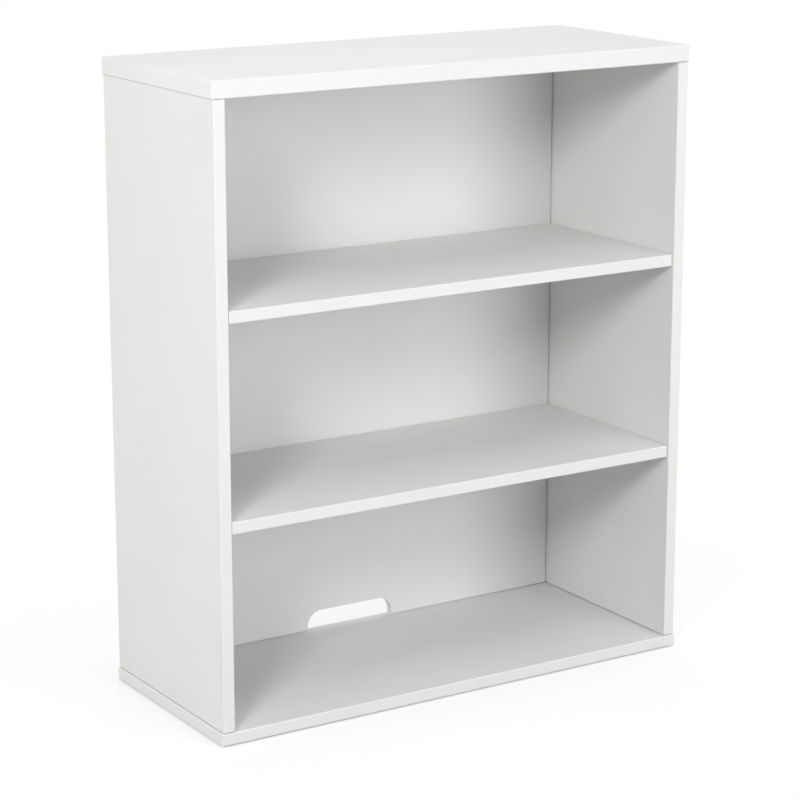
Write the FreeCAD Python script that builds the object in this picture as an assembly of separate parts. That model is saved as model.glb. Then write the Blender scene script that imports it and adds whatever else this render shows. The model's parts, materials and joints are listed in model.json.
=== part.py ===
import FreeCAD, Part
import os

# Open bookcase of white laminated board: two loose shelves, a solid back and a cable notch.
# Millimetres. The origin is on the floor under the middle of the case, and the front faces -Y.

# Case
carcass_width = 800.0  # over the outer faces of the sides
case_depth = 330.0  # front to rear, edge bands included
end_overhang = 2.0  # top and base past the sides at each end
lower_clear_height = 290.0
middle_clear_height = 281.0
upper_clear_height = 290.0

# Boards
top_thickness = 25.0
base_thickness = 18.0
side_thickness = 18.0
shelf_thickness = 18.0
back_thickness = 12.0

# Fine grooves at the joints
base_groove_width = 1.6  # where an upright meets the base
top_groove_width = 0.5  # where an upright meets the top
back_groove_width = 2.2  # where the back meets a side
side_groove_depth = 3.6
back_groove_depth = 2.4

# Shelves
shelf_setback = 3.0  # behind the front of the case
shelf_end_gap = 1.0
shelf_rear_gap = 1.0

# Cable notch in the foot of the back
notch_width = 155.0
notch_height = 31.0
notch_corner_radius = 24.0

# Edge bands
band_thickness = 2.0  # on edges that show
band_rounding = 1.5
thin_band_thickness = 1.0  # on rear edges and shelf ends
thin_band_rounding = 0.5
largest_rounding_share = 0.9  # of the thickness or width that a rounding has to fit in

# Glued dowels
side_dowel_diameter = 8.0
side_dowel_length = 32.0
side_dowel_count = 4
side_dowel_inset = 40.0  # from the front and rear of the case
back_dowel_diameter = 6.0
back_dowel_length = 28.0
back_dowel_inset = 70.0  # from the inner faces of the sides
notch_dowel_margin = 35.0  # from the sides of the notch
back_end_dowel_count = 4
back_end_dowel_inset = 90.0  # from the base and the top
dowel_face_depth = 11.0  # into the face of the board that the edge meets
dowel_chamfer = 0.8
dowel_glue_gap = 0.1
dowel_spare_depth = 1.0

# Shelf pins: a round shank in the side, and a flat tongue under the shelf
pin_diameter = 5.0
pin_shank_length = 8.0
pin_fit_gap = 0.1
pin_spare_depth = 0.5
pin_top_gap = 0.3  # shank below the top of the tongue
pin_rib_length = 6.0  # of the shank that runs on under the tongue
pin_tongue_length = 9.0
pin_tongue_width = 12.0
pin_tongue_thickness = 2.0
pin_tongue_radius = 3.0
pin_inset = 45.0  # from the front and rear edges of the shelf

# Glides under the base
glide_diameter = 22.0
glide_height = 2.0
glide_rounding = 1.0
glide_end_inset = 45.0  # from the outer faces of the sides
glide_depth_inset = 40.0  # from the front and rear of the case
glide_columns = 3
glide_rows = 2

# Levels
base_under = glide_height
base_top = base_under + base_thickness
lower_shelf_under = base_top + lower_clear_height
upper_shelf_under = lower_shelf_under + shelf_thickness + middle_clear_height
top_under = upper_shelf_under + shelf_thickness + upper_clear_height
top_level = top_under + top_thickness
groove_over = base_top + base_groove_width
groove_under = top_under - top_groove_width

# Planes across and along the case
front = -case_depth / 2
rear = case_depth / 2
outer_half = carcass_width / 2
inner_half = outer_half - side_thickness
cap_half = outer_half + end_overhang
back_front = rear - back_thickness
back_middle = rear - back_thickness / 2
shelf_half = inner_half - shelf_end_gap
shelf_front = front + shelf_setback
shelf_rear = back_front - shelf_rear_gap

X = FreeCAD.Vector(1, 0, 0)
Y = FreeCAD.Vector(0, 1, 0)
Z = FreeCAD.Vector(0, 0, 1)
same_place = 0.001  # nearer than this counts as the same place


def block(low, high):
    """Block between its lowest and highest corners."""
    size = FreeCAD.Vector(*high) - FreeCAD.Vector(*low)
    return Part.makeBox(size.x, size.y, size.z, FreeCAD.Vector(*low))


def spaced(first, last, count):
    """Evenly spaced places from the first to the last."""
    step = (last - first) / (count - 1)
    return [first + step * i for i in range(count)]


def fitted(rounding, room):
    """A rounding, limited by the wall that it has to fit in."""
    return min(rounding, largest_rounding_share * room)


def edge_band(low, high, outward, thickness, rounding, round_ends=False):
    """Strip with its outer long edges rounded, and its outer ends too where they show."""
    strip = block(low, high)
    outer_face = max(strip.Faces, key=lambda face: face.CenterOfMass.dot(outward))
    longest = max(edge.Length for edge in outer_face.Edges)
    edges = [edge for edge in outer_face.Edges if round_ends or edge.Length > longest - same_place]
    return strip.makeFillet(fitted(rounding, thickness), edges)


def thick_band(low, high, outward, round_ends=False):
    """Band for an edge that shows."""
    return edge_band(low, high, outward, band_thickness, band_rounding, round_ends)


def thin_band(low, high, outward, round_ends=False):
    """Band for a rear edge or a shelf's end."""
    return edge_band(low, high, outward, thin_band_thickness, thin_band_rounding, round_ends)


def banded_board(name, half, y_front, y_rear, z_low, z_high, end_band, end_thickness):
    """Flat board with a band on each of its four edges. The front and rear bands cover the ends."""
    core_front = y_front + band_thickness
    core_rear = y_rear - thin_band_thickness
    core_half = half - end_thickness
    return {
        name: block((-core_half, core_front, z_low), (core_half, core_rear, z_high)),
        name + "_front_band": thick_band((-half, y_front, z_low), (half, core_front, z_high), -Y, True),
        name + "_rear_band": thin_band((-half, core_rear, z_low), (half, y_rear, z_high), Y, True),
        name + "_left_band": end_band((-half, core_front, z_low), (-core_half, core_rear, z_high), -X),
        name + "_right_band": end_band((core_half, core_front, z_low), (half, core_rear, z_high), X),
    }


def side(name, x_low, x_high):
    """Upright board with a band on its front and rear edges, and a groove around its foot and head."""
    core_front = front + band_thickness
    core_rear = rear - thin_band_thickness
    deep = side_groove_depth
    core = block((x_low, core_front, groove_over), (x_high, core_rear, groove_under))
    ends = block((x_low + deep, core_front + deep, base_top), (x_high - deep, core_rear - deep, top_under))
    front_band = thick_band((x_low, front, groove_over), (x_high, core_front, groove_under), -Y)
    rear_band = thin_band((x_low, core_rear, groove_over), (x_high, rear, groove_under), Y)
    return {
        name: core.fuse(ends).removeSplitter(),
        name + "_front_band": front_band,
        name + "_rear_band": rear_band,
    }


def cable_notch():
    """Room for cables in the foot of the back, round at its upper corners."""
    half = notch_width / 2
    room = block((-half, back_front, base_top), (half, rear, base_top + notch_height))
    upper_edges = [edge for edge in room.Edges if edge.BoundBox.ZMin > base_top]
    corners = [edge for edge in upper_edges if edge.BoundBox.YLength > back_thickness - same_place]
    return room.makeFillet(fitted(notch_corner_radius, min(half, notch_height)), corners)


def back():
    """Board between the sides, with a groove around its front and a notch for cables."""
    face_half = inner_half - back_groove_width
    groove_bottom = back_front + back_groove_depth
    face = block((-face_half, back_front, groove_over), (face_half, groove_bottom, groove_under))
    board = block((-inner_half, groove_bottom, base_top), (inner_half, rear, top_under))
    return board.fuse(face).removeSplitter().cut(cable_notch())


def dowel(seam, direction, diameter, length):
    """Dowel across a seam, pointing into the face of the board that the edge meets."""
    start = seam - direction * (length - dowel_face_depth)
    rod = Part.makeCylinder(diameter / 2, length, start, direction)
    rims = [edge for edge in rod.Edges if edge.isClosed()]
    return rod.makeChamfer(dowel_chamfer, rims)


def dowel_hole(seam, direction, diameter, length):
    """Room for a dowel in both boards, with its glue gap and spare depth."""
    start = seam - direction * (length - dowel_face_depth + dowel_spare_depth)
    return Part.makeCylinder(diameter / 2 + dowel_glue_gap, length + 2 * dowel_spare_depth, start, direction)


def dowel_joints():
    """Each joint's dowels: places, direction, diameter, length and the two boards that they join."""
    side_size = (side_dowel_diameter, side_dowel_length)
    back_size = (back_dowel_diameter, back_dowel_length)
    side_middle = outer_half - side_thickness / 2
    side_places = spaced(front + side_dowel_inset, rear - side_dowel_inset, side_dowel_count)
    lowest = base_top + back_end_dowel_inset
    highest = top_under - back_end_dowel_inset
    back_heights = spaced(lowest, highest, back_end_dowel_count)
    outermost = inner_half - back_dowel_inset
    beside_notch = notch_width / 2 + notch_dowel_margin
    back_places = [-outermost, -beside_notch, beside_notch, outermost]
    joints = {}
    for cap, level, direction in (("top", top_under, Z), ("base", base_top, -Z)):
        for hand, sign in (("left", -1), ("right", 1)):
            seams = [FreeCAD.Vector(sign * side_middle, y, level) for y in side_places]
            boards = (hand + "_side", cap + "_panel")
            joints[hand + "_" + cap + "_dowels"] = (seams, direction, side_size, boards)
        seams = [FreeCAD.Vector(x, back_middle, level) for x in back_places]
        joints["back_" + cap + "_dowels"] = (seams, direction, back_size, ("back_panel", cap + "_panel"))
    for hand, sign in (("left", -1), ("right", 1)):
        seams = [FreeCAD.Vector(sign * inner_half, back_middle, z) for z in back_heights]
        joints["back_" + hand + "_dowels"] = (seams, X * sign, back_size, ("back_panel", hand + "_side"))
    return joints


def pin_places(shelf_under):
    """Where the axis of each of a shelf's four pins leaves its side, and the way into that side."""
    axis_level = shelf_under - pin_top_gap - pin_diameter / 2
    return [
        (FreeCAD.Vector(sign * inner_half, y, axis_level), X * sign)
        for sign in (-1, 1)
        for y in (shelf_front + pin_inset, shelf_rear - pin_inset)
    ]


def pin(place, into_side, shelf_under):
    """Shelf pin: the shank runs from under the tongue into the side."""
    shank = Part.makeCylinder(
        pin_diameter / 2, pin_rib_length + pin_shank_length, place - into_side * pin_rib_length, into_side)
    tip = place.x - into_side.x * pin_tongue_length
    half = pin_tongue_width / 2
    tongue = block(
        (min(place.x, tip), place.y - half, shelf_under - pin_tongue_thickness),
        (max(place.x, tip), place.y + half, shelf_under))
    uprights = [edge for edge in tongue.Edges if edge.BoundBox.ZLength > pin_tongue_thickness - same_place]
    corners = [edge for edge in uprights if abs(edge.CenterOfMass.x - tip) < same_place]
    rounded = tongue.makeFillet(fitted(pin_tongue_radius, half), corners)
    return shank.fuse(rounded).removeSplitter()


def pin_hole(place, into_side):
    """Blind hole for a pin's shank."""
    return Part.makeCylinder(
        pin_diameter / 2 + pin_fit_gap, pin_shank_length + pin_spare_depth, place, into_side)


def glide(x, y):
    """Low round foot with its lower rim rounded."""
    disc = Part.makeCylinder(glide_diameter / 2, glide_height, FreeCAD.Vector(x, y, 0))
    rim = [edge for edge in disc.Edges if edge.BoundBox.ZMax < same_place]
    return disc.makeFillet(fitted(glide_rounding, glide_height), rim)


def glides():
    """Rows of glides under the front and rear of the base."""
    columns = spaced(glide_end_inset - outer_half, outer_half - glide_end_inset, glide_columns)
    rows = spaced(front + glide_depth_inset, rear - glide_depth_inset, glide_rows)
    return [glide(x, y) for x in columns for y in rows]


def solids_of(shape):
    """The one solid of a piece, or the group where it has several."""
    return shape.Solids[0] if len(shape.Solids) == 1 else Part.makeCompound(shape.Solids)


nodes = {}
for cap, low, high in (("top_panel", top_under, top_level), ("base_panel", base_under, base_top)):
    nodes.update(banded_board(cap, cap_half, front, rear, low, high, thick_band, band_thickness))
nodes.update(side("left_side", -outer_half, -inner_half))
nodes.update(side("right_side", inner_half, outer_half))
nodes["back_panel"] = back()
nodes["floor_glides"] = Part.makeCompound(glides())

holes = {name: [] for name in ("top_panel", "base_panel", "left_side", "right_side", "back_panel")}
for joint, (seams, direction, size, boards) in dowel_joints().items():
    nodes[joint] = Part.makeCompound([dowel(seam, direction, *size) for seam in seams])
    for board in boards:
        holes[board] += [dowel_hole(seam, direction, *size) for seam in seams]

for shelf, under in (("lower_shelf", lower_shelf_under), ("upper_shelf", upper_shelf_under)):
    over = under + shelf_thickness
    nodes.update(banded_board(
        shelf, shelf_half, shelf_front, shelf_rear, under, over, thin_band, thin_band_thickness))
    places = pin_places(under)
    nodes[shelf + "_pins"] = Part.makeCompound([pin(place, into, under) for place, into in places])
    for place, into in places:
        holes["left_side" if into.x < 0 else "right_side"].append(pin_hole(place, into))

for board, tools in holes.items():
    nodes[board] = nodes[board].cut(tools)

os.makedirs("parts", exist_ok=True)
for name, shape in nodes.items():
    solids_of(shape).exportStep(os.path.join("parts", name + ".step"))
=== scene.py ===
import json
import math

import bpy
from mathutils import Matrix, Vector


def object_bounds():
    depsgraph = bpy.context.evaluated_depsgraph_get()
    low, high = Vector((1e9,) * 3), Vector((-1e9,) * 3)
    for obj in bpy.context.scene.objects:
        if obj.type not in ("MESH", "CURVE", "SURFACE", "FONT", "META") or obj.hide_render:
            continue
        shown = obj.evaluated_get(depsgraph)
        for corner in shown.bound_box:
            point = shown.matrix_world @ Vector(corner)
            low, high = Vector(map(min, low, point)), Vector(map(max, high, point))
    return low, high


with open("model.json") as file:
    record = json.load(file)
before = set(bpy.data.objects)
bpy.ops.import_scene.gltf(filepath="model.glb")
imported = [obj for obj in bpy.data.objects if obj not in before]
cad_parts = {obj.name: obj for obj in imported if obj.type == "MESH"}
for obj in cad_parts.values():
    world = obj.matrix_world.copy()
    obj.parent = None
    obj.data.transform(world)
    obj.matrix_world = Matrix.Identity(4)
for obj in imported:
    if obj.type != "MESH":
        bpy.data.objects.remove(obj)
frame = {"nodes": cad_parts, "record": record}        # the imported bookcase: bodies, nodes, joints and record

cad_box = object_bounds()

# Camera: place in metres, angles in degrees, lens in millimetres. Yaw turns it from +Y towards +X.
CAMERA_PLACE = (-2.0283, -3.2021, 1.3753)
CAMERA_YAW = 32.32
CAMERA_PITCH = 14.18
CAMERA_LENS = 117.0

# Light. Lamps stand around LIGHT_TARGET; azimuth is 0 in front and grows to the right.
WORLD_FILL = 0.25
LIGHT_TARGET = (0.0, 0.0, 0.5)
LAMP_DISTANCE = 4.2
# name: (azimuth and elevation in degrees, width in metres, power in watts)
LAMPS = {
    "key_light": (-48.0, 24.0, 1.0, 72.0),
    "high_light": (-40.0, 48.0, 1.8, 21.0),
    "top_light": (30.0, 70.0, 2.2, 34.0),
    "front_fill": (21.0, 8.0, 2.2, 67.0),
    "left_fill": (-100.0, 12.0, 1.8, 50.0),
    "right_fill": (100.0, 12.0, 1.8, 40.0),
    "rear_light": (150.0, 48.0, 2.0, 33.0),
    "rear_fill": (172.0, 6.0, 1.4, 14.0),
}

# Background: white to look at, at a strength that renders as plain white
WHITE = (1.0, 1.0, 1.0, 1.0)
WHITE_STRENGTH = 1.0

# Floor, in metres
FLOOR_RADIUS = 8.0
FLOOR_SIDES = 96
FLOOR_FADE = 0.5
# Share of plain white, by distance from the case as a share of FLOOR_FADE
FLOOR_GLOW = ((0.0, 0.3), (0.06, 0.72), (0.25, 0.86), (1.0, 1.0))
# Floor colour for the light that it throws back at the case
FLOOR_BOUNCE = (0.47, 0.47, 0.47, 1.0)

# Finishes: pairs of linear colours
LAMINATE_TONES = ((0.757, 0.752, 0.743, 1.0), (0.777, 0.772, 0.763, 1.0))
BAND_TONES = ((0.773, 0.769, 0.756, 1.0), (0.793, 0.789, 0.776, 1.0))
BEECH_TONES = ((0.56, 0.36, 0.19, 1.0), (0.72, 0.52, 0.31, 1.0))
NICKEL_TONES = ((0.55, 0.54, 0.51, 1.0), (0.66, 0.65, 0.62, 1.0))
GLIDE_TONES = ((0.33, 0.33, 0.33, 1.0), (0.4, 0.4, 0.4, 1.0))
# Values of the noise between which a finish changes
TONE_SPAN = (0.35, 0.65)
ROUGHNESS_SPAN = (0.3, 0.7)
# Stretch of the noise for a grain along Z
GRAIN_STRETCH = (1.0, 1.0, 0.15)
PORE_STRETCH = (1.0, 1.0, 0.1)


class Finish:
    """A material with one Principled shader, and helpers that add nodes to it."""

    def __init__(self, name):
        self.material = bpy.data.materials.new(name)
        self.material.use_nodes = True
        self.nodes = self.material.node_tree.nodes
        self.links = self.material.node_tree.links
        self.shader = self.nodes["Principled BSDF"]
        self.place = self.nodes.new("ShaderNodeTexCoord").outputs["Object"]

    def noise(self, scale, detail, stretch=(1.0, 1.0, 1.0)):
        """Noise over the object's own coordinates, with scale in features per metre."""
        mapping = self.nodes.new("ShaderNodeMapping")
        mapping.inputs["Scale"].default_value = stretch
        self.links.new(self.place, mapping.inputs["Vector"])
        noise = self.nodes.new("ShaderNodeTexNoise")
        noise.inputs["Scale"].default_value = scale
        noise.inputs["Detail"].default_value = detail
        self.links.new(mapping.outputs["Vector"], noise.inputs["Vector"])
        return noise.outputs["Fac"]

    def tones(self, source, tones):
        """Base colour between two tones."""
        ramp = self.nodes.new("ShaderNodeValToRGB")
        for stop, place, tone in zip(ramp.color_ramp.elements, TONE_SPAN, tones):
            stop.position = place
            stop.color = tone
        self.links.new(source, ramp.inputs["Fac"])
        self.links.new(ramp.outputs["Color"], self.shader.inputs["Base Color"])

    def roughness(self, source, low, high):
        """Roughness between two values."""
        spread = self.nodes.new("ShaderNodeMapRange")
        spread.inputs["From Min"].default_value = ROUGHNESS_SPAN[0]
        spread.inputs["From Max"].default_value = ROUGHNESS_SPAN[1]
        spread.inputs["To Min"].default_value = low
        spread.inputs["To Max"].default_value = high
        self.links.new(source, spread.inputs["Value"])
        self.links.new(spread.outputs["Result"], self.shader.inputs["Roughness"])

    def bump(self, source, height, strength):
        """Relief of a given height in metres."""
        bump = self.nodes.new("ShaderNodeBump")
        bump.inputs["Strength"].default_value = strength
        bump.inputs["Distance"].default_value = height
        self.links.new(source, bump.inputs["Height"])
        self.links.new(bump.outputs["Normal"], self.shader.inputs["Normal"])


def laminate():
    """White melamine with a fine pearl texture and a faint unevenness of tone."""
    finish = Finish("white_laminate")
    finish.tones(finish.noise(scale=5.0, detail=3.0), LAMINATE_TONES)
    finish.roughness(finish.noise(scale=40.0, detail=4.0), low=0.5, high=0.6)
    finish.bump(finish.noise(scale=1100.0, detail=2.0), height=0.00006, strength=0.35)
    return finish.material


def edge_band():
    """White plastic band, a little lighter and smoother than the board, with a faint grain."""
    finish = Finish("white_edge_band")
    finish.tones(finish.noise(scale=9.0, detail=3.0), BAND_TONES)
    finish.roughness(finish.noise(scale=90.0, detail=3.0), low=0.48, high=0.58)
    finish.bump(finish.noise(scale=700.0, detail=2.0), height=0.00004, strength=0.25)
    return finish.material


def beech():
    """Plain beech with its grain along Z."""
    finish = Finish("beech_dowel")
    finish.tones(finish.noise(scale=260.0, detail=5.0, stretch=GRAIN_STRETCH), BEECH_TONES)
    finish.roughness(finish.noise(scale=300.0, detail=3.0), low=0.55, high=0.7)
    finish.bump(finish.noise(scale=900.0, detail=4.0, stretch=PORE_STRETCH), height=0.00015, strength=0.5)
    return finish.material


def nickel():
    """Nickel plating with tumbling marks."""
    finish = Finish("plated_pin")
    finish.shader.inputs["Metallic"].default_value = 1.0
    finish.tones(finish.noise(scale=500.0, detail=3.0), NICKEL_TONES)
    finish.roughness(finish.noise(scale=1500.0, detail=4.0), low=0.22, high=0.38)
    finish.bump(finish.noise(scale=2500.0, detail=2.0), height=0.00002, strength=0.3)
    return finish.material


def glide_plastic():
    """Moulded grey plastic with a fine grain."""
    finish = Finish("grey_glide")
    finish.tones(finish.noise(scale=300.0, detail=3.0), GLIDE_TONES)
    finish.roughness(finish.noise(scale=800.0, detail=2.0), low=0.5, high=0.65)
    finish.bump(finish.noise(scale=2200.0, detail=2.0), height=0.00004, strength=0.4)
    return finish.material


def dress_nodes():
    """Give each node the finish of its material slot."""
    finishes = {
        "white_laminate": laminate(),
        "white_edge_band": edge_band(),
        "beech_dowel": beech(),
        "plated_pin": nickel(),
        "grey_glide": glide_plastic(),
    }
    for subpart in frame["record"]["subparts"]:
        for slot in frame["nodes"][subpart["node"]].material_slots:
            slot.material = finishes[subpart["material_slot"]]


def add_lamp(name, azimuth, elevation, width, power):
    """A round soft lamp that points at the bookcase."""
    lamp = bpy.data.lights.new(name, "AREA")
    lamp.shape = "DISK"
    lamp.size = width
    lamp.energy = power
    across = math.radians(azimuth)
    up = math.radians(elevation)
    outward = Vector((
        math.sin(across) * math.cos(up),
        -math.cos(across) * math.cos(up),
        math.sin(up),
    ))
    stand = bpy.data.objects.new(name, lamp)
    stand.location = Vector(LIGHT_TARGET) + LAMP_DISTANCE * outward
    stand.rotation_euler = outward.to_track_quat("Z", "Y").to_euler()
    bpy.context.scene.collection.objects.link(stand)


def shown_ray(nodes, links):
    """1 for rays that show the background: camera, glossy and transmission rays."""
    path = nodes.new("ShaderNodeLightPath")
    total = path.outputs["Is Camera Ray"]
    for name in ("Is Glossy Ray", "Is Transmission Ray"):
        larger = nodes.new("ShaderNodeMath")
        larger.operation = "MAXIMUM"
        links.new(total, larger.inputs[0])
        links.new(path.outputs[name], larger.inputs[1])
        total = larger.outputs["Value"]
    return total


def mixed(nodes, links, share, first, second):
    """The first shader where share is 0, and the second where it is 1."""
    mix = nodes.new("ShaderNodeMixShader")
    links.new(share, mix.inputs["Fac"])
    links.new(first, mix.inputs[1])
    links.new(second, mix.inputs[2])
    return mix.outputs["Shader"]


def add_world():
    """White to look at, with a weaker even fill for light."""
    world = bpy.data.worlds.new("studio")
    bpy.context.scene.world = world
    world.use_nodes = True
    nodes = world.node_tree.nodes
    links = world.node_tree.links
    fill = nodes["Background"]
    fill.inputs["Color"].default_value = WHITE
    fill.inputs["Strength"].default_value = WORLD_FILL
    seen = nodes.new("ShaderNodeBackground")
    seen.inputs["Color"].default_value = WHITE
    seen.inputs["Strength"].default_value = WHITE_STRENGTH
    by_ray = mixed(
        nodes, links, shown_ray(nodes, links), fill.outputs["Background"], seen.outputs["Background"]
    )
    links.new(by_ray, nodes["World Output"].inputs["Surface"])


def vector_step(nodes, links, operation, source, operand=(0.0, 0.0, 0.0)):
    """A node that does one vector operation on a socket."""
    step = nodes.new("ShaderNodeVectorMath")
    step.operation = operation
    links.new(source, step.inputs[0])
    step.inputs[1].default_value = operand
    return step


def floor_fade(nodes, links):
    """Share of plain white in the floor, which grows with the distance from the case's outline."""
    half_size = (cad_box[1][0], cad_box[1][1], 0.0)
    place = nodes.new("ShaderNodeTexCoord").outputs["Object"]
    from_middle = vector_step(nodes, links, "ABSOLUTE", place).outputs["Vector"]
    from_edge = vector_step(nodes, links, "SUBTRACT", from_middle, half_size).outputs["Vector"]
    outside = vector_step(nodes, links, "MAXIMUM", from_edge).outputs["Vector"]
    distance = vector_step(nodes, links, "LENGTH", outside).outputs["Value"]
    share = nodes.new("ShaderNodeMapRange")
    share.inputs["From Max"].default_value = FLOOR_FADE
    links.new(distance, share.inputs["Value"])
    ramp = nodes.new("ShaderNodeValToRGB")
    stops = ramp.color_ramp.elements
    while len(stops) < len(FLOOR_GLOW):
        stops.new(FLOOR_GLOW[len(stops) - 1][0])
    for stop, (reach, glow) in zip(stops, FLOOR_GLOW):
        stop.position = reach
        stop.color = (glow, glow, glow, 1.0)
    links.new(share.outputs["Result"], ramp.inputs["Fac"])
    return ramp.outputs["Color"]


def floor_material():
    """Pale floor that keeps the shadow near the object and fades to white away from it."""
    material = bpy.data.materials.new("studio_floor")
    material.use_nodes = True
    nodes = material.node_tree.nodes
    links = material.node_tree.links
    nodes.remove(nodes["Principled BSDF"])
    pale = nodes.new("ShaderNodeBsdfDiffuse")
    pale.inputs["Color"].default_value = WHITE
    dim = nodes.new("ShaderNodeBsdfDiffuse")
    dim.inputs["Color"].default_value = FLOOR_BOUNCE
    far = nodes.new("ShaderNodeEmission")
    far.inputs["Color"].default_value = WHITE
    far.inputs["Strength"].default_value = WHITE_STRENGTH
    near_to_far = mixed(
        nodes, links, floor_fade(nodes, links), pale.outputs["BSDF"], far.outputs["Emission"]
    )
    by_ray = mixed(nodes, links, shown_ray(nodes, links), dim.outputs["BSDF"], near_to_far)
    links.new(by_ray, nodes["Material Output"].inputs["Surface"])
    return material


def add_floor():
    """A round floor under the bookcase."""
    bpy.ops.mesh.primitive_circle_add(vertices=FLOOR_SIDES, radius=FLOOR_RADIUS, fill_type="NGON")
    floor = bpy.context.object
    floor.name = "studio_floor"
    floor.data.materials.append(floor_material())


def add_camera():
    """The photo's viewpoint, tilted down without a shift."""
    data = bpy.data.cameras.new("camera")
    data.lens = CAMERA_LENS
    camera = bpy.data.objects.new("camera", data)
    camera.location = CAMERA_PLACE
    camera.rotation_euler = (math.radians(90.0 - CAMERA_PITCH), 0.0, math.radians(-CAMERA_YAW))
    bpy.context.scene.collection.objects.link(camera)
    bpy.context.scene.camera = camera


dress_nodes()
add_world()
for lamp_name, lamp_setting in LAMPS.items():
    add_lamp(lamp_name, *lamp_setting)
add_floor()
add_camera()
bpy.context.scene.view_settings.view_transform = "Standard"
